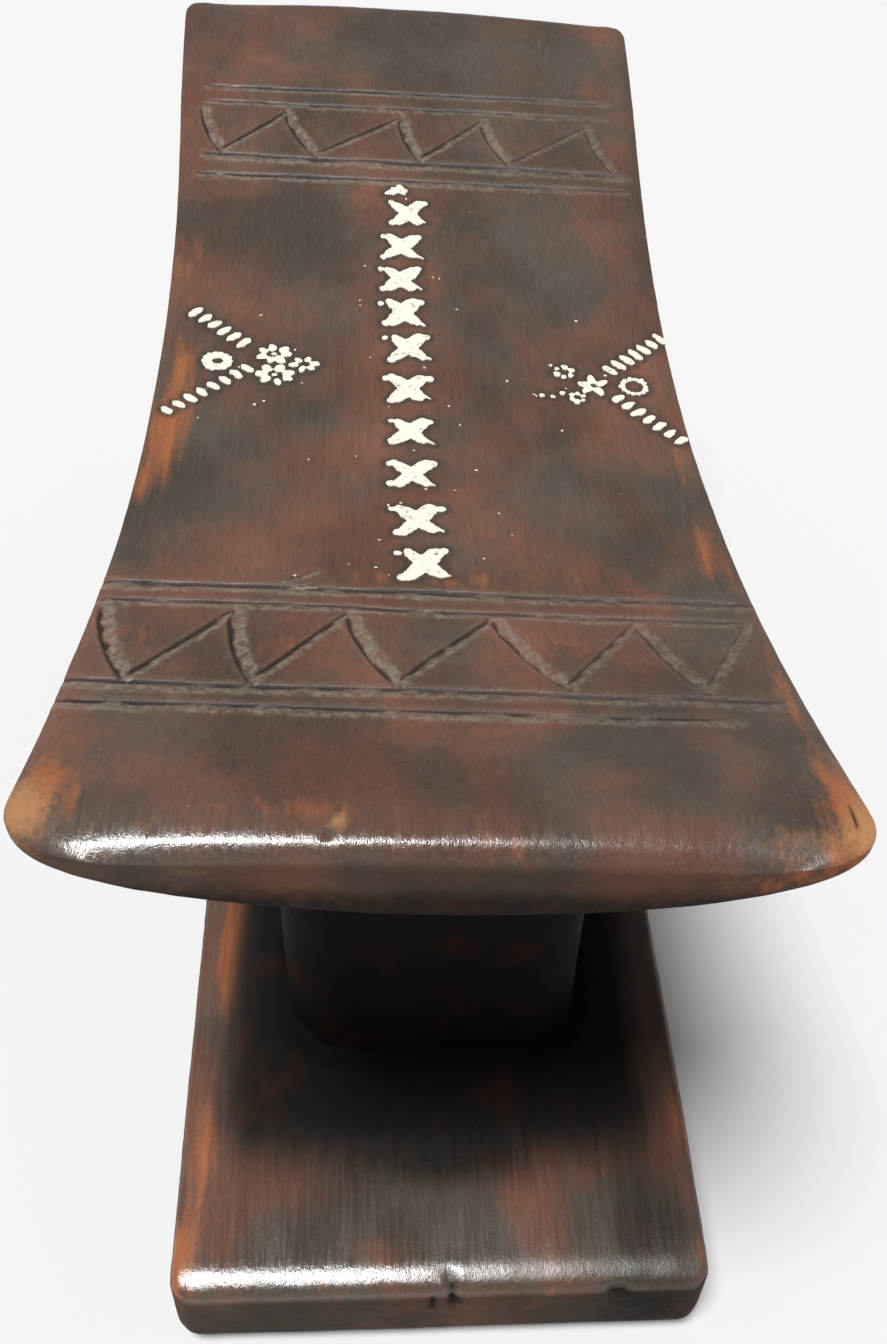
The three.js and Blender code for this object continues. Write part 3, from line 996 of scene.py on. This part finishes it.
def dirty_colour(s, colour, blots, streaks):
    """Soot with painted shade and shadow, the dark stain round the lime, dust and painted light on the
    lips of the cuts, black in their depths that is partly dirt and partly painted shade, and black in
    the nicks and in the painted shade round the post's foot.
    """
    # Near-black for soot and for painted shade and shadow.
    soot_and_shade_colour = s.mix(s.step(blots, 0.5, 0.75), SOOT_AND_SHADE_BLACK, SOOT_AND_SHADE_RED)
    soot_and_shade = s.add(s.attribute("soot_and_shade"), streaks, 0.35, 0.5)
    colour = s.mix(s.step(soot_and_shade, 0.12, 0.85), colour, soot_and_shade_colour)
    colour = s.mix(s.math("MULTIPLY", s.attribute("stain"), 0.75), colour, STAIN)
    # The cuts: pale for dust and painted light on their gentle lips, black for dirt and painted shade
    # on their steep side.
    dust_and_light = s.step(s.noise((1.2, 1.2, 1.2), 4, 0.7), 0.36, 0.64, 0.1, 0.85)
    colour = s.mix(s.math("MULTIPLY", s.attribute("lip"), dust_and_light), colour, DUST_AND_LIT_SIDE)
    colour = s.mix(s.math("MULTIPLY", s.attribute("cut"), 0.9), colour, CUT_DARK)
    # Black in the nicks, and painted shade in the crease round the post's foot.
    return s.mix(s.attribute("nick_black_and_foot_shade"), colour, SOOT_AND_SHADE_BLACK)


def wood_gloss(s, grain, blots):
    """A dull sheen, duller in the cuts and on steep faces, bright on edges that hands have polished."""
    rough = s.add(s.step(blots, 0.3, 0.7, 0.34, 0.44), s.step(grain, 0.35, 0.7, -0.05, 0.07))
    rough = s.add(rough, s.attribute("cut"), 0.3)
    rough = s.add(rough, s.attribute("matt"), 0.4)
    rough = s.add(rough, s.attribute("polish"), -0.17)
    s.set("Roughness", rough)
    gloss = s.add(s.step(s.attribute("matt"), 0, 1, 0.35, 0.1), s.attribute("polish"), 0.5)
    s.set("Specular IOR Level", gloss)


def stained_wood():
    """Dark stained hardwood, handled for years: smoky and red patches, orange where it is worn."""
    s = Shader("stained_wood")
    grain = s.noise((0.5, 9, 0.5), 4, 0.6)
    streaks = s.noise((1.6, 22, 1.6), 3, 0.5, 0.4)
    blots = s.noise((9, 13, 9), 5, 0.6)
    pores = s.noise((0.16, 1.5, 0.16), 2, 0.5)
    specks = s.noise((0.7, 0.9, 0.7), 3, 0.7)
    colour = stained_colour(s, grain, blots)
    colour = worn_colour(s, colour, streaks, specks)
    colour = dirty_colour(s, colour, blots, streaks)
    colour = s.shade(colour, s.step(pores, 0.28, 0.45, 0.78, 1.0))
    s.set("Base Color", colour)
    wood_gloss(s, grain, blots)
    s.bump([(grain, 0.02), (pores, 0.022), (specks, 0.055)])
    return s.material


LIME_WHITE = (0.66, 0.635, 0.55, 1)
LIME_DIRTY = (0.38, 0.31, 0.22, 1)
PIT_DARK = (0.07, 0.05, 0.036, 1)


def lime_paste():
    """Chalky white lime, rubbed flat, with brown dirt in its pits."""
    s = Shader("lime_paste")
    cloud = s.noise((1.1, 1.1, 1.1), 4, 0.6)
    pits = s.noise((0.7, 0.7, 0.7), 2, 0.6)
    chalk = s.noise((0.08, 0.08, 0.08), 2, 0.6)
    colour = s.mix(s.step(cloud, 0.56, 0.74), LIME_WHITE, LIME_DIRTY)
    colour = s.mix(s.step(pits, 0.66, 0.71), colour, PIT_DARK)
    s.set("Base Color", colour)
    s.set("Roughness", s.step(cloud, 0.3, 0.7, 0.7, 0.9))
    s.bump([(chalk, 0.02), (pits, 0.08)])
    return s.material


# -------- lime inlay

BLOB_HALF_DEPTH = 0.75 * MM
PROUD = 0.1 * MM
RAGGED = 0.15 * MM
ROUGH_TOP = 0.05 * MM
VOXEL = 0.19 * MM

# A leaf's balls: place along it, and breadth as a share of the leaf's.
LEAF_BALLS = [(0.3, 1.0), (0.52, 0.95), (0.72, 0.75), (0.88, 0.5)]


def ahead(centre, distance, turn):
    """The point at this distance from the centre in the direction of turn."""
    return centre[0] + distance * math.cos(turn), centre[1] + distance * math.sin(turn)


class Blobs:
    """Flattened balls on the platform's surface that are melted into one piece."""

    def __init__(self, name, seed):
        self.name = name
        self.draw = np.random.default_rng(seed)
        self.mesh = bmesh.new()

    def add(self, x, y, half_length, half_breadth, turn=0.0):
        """One flattened ball; x and y in metres, half sizes in metres, turn in radians."""
        size = Matrix.Diagonal((half_length, half_breadth, BLOB_HALF_DEPTH, 1))
        place = Matrix.Translation((x, y, 0)) @ Matrix.Rotation(turn, 4, "Z") @ size
        bmesh.ops.create_uvsphere(self.mesh, u_segments=16, v_segments=9, radius=1, matrix=place)

    def leaf(self, x, y, length, breadth, turn, pointed=1.0):
        """A leaf from (x, y) outwards, broad in the middle and narrow at its tip."""
        for share, width in LEAF_BALLS:
            half = breadth / 2 * (1 - pointed * (1 - width))
            self.add(*ahead((x, y), share * length, turn), max(half, length * 0.2), half, turn)

    def finish(self):
        """Melts the balls into one skin and flattens its top just above the wood."""
        mesh = bpy.data.meshes.new(self.name)
        self.mesh.to_mesh(mesh)
        self.mesh.free()
        piece = add_object(self.name, mesh)
        remesh = piece.modifiers.new("melt", "REMESH")
        remesh.mode = "VOXEL"
        remesh.voxel_size = VOXEL * 1
        apply_modifiers(piece)
        p = coordinates(piece.data)
        ragged = np.stack([noise(p, 0.6, 61), noise(p, 0.6, 62), 0 * p[:, 0]], -1)
        p = p + RAGGED * ragged
        top = np.minimum(p[:, 2], PROUD + ROUGH_TOP * layered(p, 0.9, 63, 2))
        p[:, 2] = body["top"](p[:, 0], p[:, 1])
        p[:, 2] += undulation(p) + top
        piece.data.vertices.foreach_set("co", p.ravel())
        piece.data.shade_smooth()
        piece.data.update()
        piece.data.materials.append(LIME)
        return piece


# The arms of a cross: direction in degrees, length, breadth and how pointed.
CROSS_ARMS = [
    (52, 0.96, 0.62, 0.3),
    (131, 1.04, 0.54, 0.8),
    (231, 0.97, 0.60, 0.45),
    (-49, 0.92, 0.56, 0.7),
]
# Dots beyond the tips: direction in degrees, place and size.
CROSS_DOTS = [(47, 1.12, 0.15), (222, 1.1, 0.16), (139, 1.12, 0.12)]
CROSS_SPIKE = -41


def draw_cross(blobs, centre, half):
    """Four leaf-shaped arms that meet in the middle, each one cut by eye."""
    draw = blobs.draw
    reach = 0.86 * half
    blobs.add(*centre, 0.34 * half, 0.36 * half)
    for turn, length, breadth, pointed in CROSS_ARMS:
        turn = math.radians(turn) + draw.uniform(-0.12, 0.12)
        length *= reach * draw.uniform(0.9, 1.08)
        blobs.leaf(*centre, length, breadth * half * draw.uniform(0.85, 1.12), turn, pointed)
    for turn, away, size in CROSS_DOTS:
        turn = math.radians(turn) + draw.uniform(-0.15, 0.15)
        blobs.add(*ahead(centre, away * reach, turn), size * half, size * half)
    spike = math.radians(CROSS_SPIKE) + draw.uniform(-0.1, 0.1)
    length = draw.uniform(1.05, 1.25) * reach
    blobs.leaf(*centre, length, 0.2 * half, spike, 1.2)


def draw_smudge(blobs, centre, half):
    """Rubbed remains of a cross."""
    for _ in range(12):
        turn = blobs.draw.uniform(0, 2 * math.pi)
        away = blobs.draw.uniform(0, 1.15) * half
        size = blobs.draw.uniform(0.25, 0.5) * half
        x, y = centre[0] + away * math.cos(turn), centre[1] + 0.8 * away * math.sin(turn)
        blobs.add(x, y, size, size * 0.7, turn)


def draw_dash(blobs, centre, half, turn):
    """A small leaf, a little fuller at one end."""
    length, breadth = half
    length *= blobs.draw.uniform(0.9, 1.12)
    turn += blobs.draw.uniform(-0.12, 0.12)
    blobs.add(*centre, length, breadth * 0.95, turn)
    lean = 0.35 * length * blobs.draw.choice([-1, 1])
    blobs.add(*ahead(centre, lean, turn), length * 0.55, breadth, turn)


RING_BALLS = 14


def draw_ring(blobs, centre, half, worn):
    """A thick ring round a dark middle; a worn one is thin and broken."""
    for i in range(RING_BALLS):
        turn = 2 * math.pi * i / RING_BALLS
        size = half * (blobs.draw.uniform(0.12, 0.2) if worn else blobs.draw.uniform(0.26, 0.3))
        away = half * (0.86 if worn else 0.72)
        blobs.add(*ahead(centre, away, turn), size * 1.3, size, turn)


WIDE_ROSETTE = 1.22
SEEDED_ABOVE = 2 * MM


def draw_rosette(blobs, centre, half, petals):
    """Separate petals round a dark centre, with a small seed in it."""
    start = blobs.draw.uniform(0, 2 * math.pi)
    for i in range(petals):
        turn = start + 2 * math.pi * i / petals + blobs.draw.uniform(-0.1, 0.1)
        away = half * blobs.draw.uniform(0.68, 0.78)
        size = half * blobs.draw.uniform(0.25, 0.33)
        x = centre[0] + WIDE_ROSETTE * away * math.cos(turn)
        blobs.add(x, centre[1] + away * math.sin(turn), size * 1.4, size, turn)
    if half > SEEDED_ABOVE:
        blobs.add(*centre, half * 0.2, half * 0.15)


STAR_PETALS = (0.5, 1.7, 2.9, 3.9, 5.2)


def draw_star(blobs, centre, half):
    """Petals, each in its own direction in radians, that run together round a dark slot."""
    for turn in STAR_PETALS:
        start = ahead(centre, 0.25 * half, turn)
        blobs.leaf(*start, half * blobs.draw.uniform(0.8, 1.0), half * 0.6, turn)


def draw_dots(blobs, centre, half):
    """A tiny ring of dots."""
    for i in range(6):
        turn = 2 * math.pi * i / 6 + 0.4
        size = half * blobs.draw.uniform(0.2, 0.38)
        blobs.add(*ahead(centre, 0.75 * half, turn), size, size)


def make_inlay(name, spot, seed):
    """The lime of one inlay node, drawn by its name."""
    blobs = Blobs(name + "_lime", seed)
    centre, half, turn = spot["centre"], spot["half"], spot["turn"]
    if name == "cross_inlay_01":
        draw_smudge(blobs, centre, half[0])
    elif name.startswith("cross"):
        draw_cross(blobs, centre, max(half) * 0.97)
    elif "ring" in name:
        draw_ring(blobs, centre, half[0], name.startswith("right"))
    elif "star" in name:
        draw_star(blobs, centre, half[0])
    elif name.startswith("right_rosette"):
        draw_dots(blobs, centre, half[0])
    elif "rosette" in name:
        draw_rosette(blobs, centre, half[0], 6 if name.endswith("03") else 7)
    elif "dot" in name:
        blobs.add(*centre, half[0] * 0.8, half[1] * 0.7)
    else:
        draw_dash(blobs, centre, half, turn)
    piece = blobs.finish()
    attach(piece, "root")
    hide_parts(name)
    return piece


MIDDLE_SPECKS = 34
SIDE_SPECKS = 16


def make_specks():
    """Grains of lime left on the wood, along the row of crosses and round the two side motifs."""
    blobs = Blobs("lime_specks", 900)
    draw = blobs.draw
    for _ in range(MIDDLE_SPECKS):
        x, y = draw.normal(-1, 7) * MM, draw.uniform(-56, 48) * MM
        size = draw.uniform(0.12, 0.22) * MM
        blobs.add(x, y, size * 1.2, size)
    for _ in range(SIDE_SPECKS):
        side = draw.choice([-1, 1])
        x, y = side * draw.uniform(17, 36) * MM, draw.normal(-4, 9) * MM
        size = draw.uniform(0.14, 0.24) * MM
        blobs.add(x, y, size * 1.2, size)
    piece = blobs.finish()
    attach(piece, "root")


WOOD = stained_wood()
LIME = lime_paste()


def make_wood(lime_pieces):
    """The whole carved body, with a pocket under each piece of lime."""
    wood = join_wood()
    refine(wood)
    blend_joints(wood)
    carve(wood, lime_pieces)
    mesh = wood.data
    mesh.shade_smooth()
    mesh.materials.clear()
    mesh.materials.append(WOOD)
    mesh.polygons.foreach_set("material_index", [0] * len(mesh.polygons))
    mesh.update()
    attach(wood, "root")
    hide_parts("carved_body")


lime_inlays = [make_inlay(name, spot, seed) for seed, (name, spot) in enumerate(inlays.items())]
make_specks()
make_wood(lime_inlays)


# -------- floor and light

FLOOR_HALF = 4.0
FLOOR_COLOUR = (0.57, 0.57, 0.57, 1)


def add_floor():
    """A wide sheet of plain pale paper."""
    mesh = bpy.data.meshes.new("floor")
    corners = [(-1, -1), (1, -1), (1, 1), (-1, 1)]
    mesh.from_pydata([(a * FLOOR_HALF, b * FLOOR_HALF, 0) for a, b in corners], [], [(0, 1, 2, 3)])
    floor = add_object("floor", mesh)
    paper = Shader("pale_floor")
    paper.set("Base Color", FLOOR_COLOUR)
    paper.set("Roughness", 0.9)
    paper.set("Specular IOR Level", 0.2)
    mesh.materials.append(paper.material)


KEY_FROM = (-0.17, -0.23, 0.96)
KEY_STRENGTH = 4.7
KEY_WIDTH = 0.36
SKY_STRENGTH = 0.2


def add_key():
    """A soft light, far off, from high up in front and a little to the left."""
    light = bpy.data.lights.new("key_light", "SUN")
    light.energy = KEY_STRENGTH
    light.angle = KEY_WIDTH
    lamp = add_object("key_light", light)
    lamp.rotation_euler = Vector(KEY_FROM).to_track_quat("Z", "Y").to_euler()
    lamp.location = KEY_FROM


def add_light():
    """The key light and an even, weak surround."""
    add_key()
    world = bpy.data.worlds.new("studio")
    world.use_nodes = True
    sky = world.node_tree.nodes["Background"]
    sky.inputs["Color"].default_value = (1, 1, 1, 1)
    sky.inputs["Strength"].default_value = SKY_STRENGTH
    bpy.context.scene.world = world
    bpy.context.scene.view_settings.view_transform = "Standard"


add_floor()
add_light()
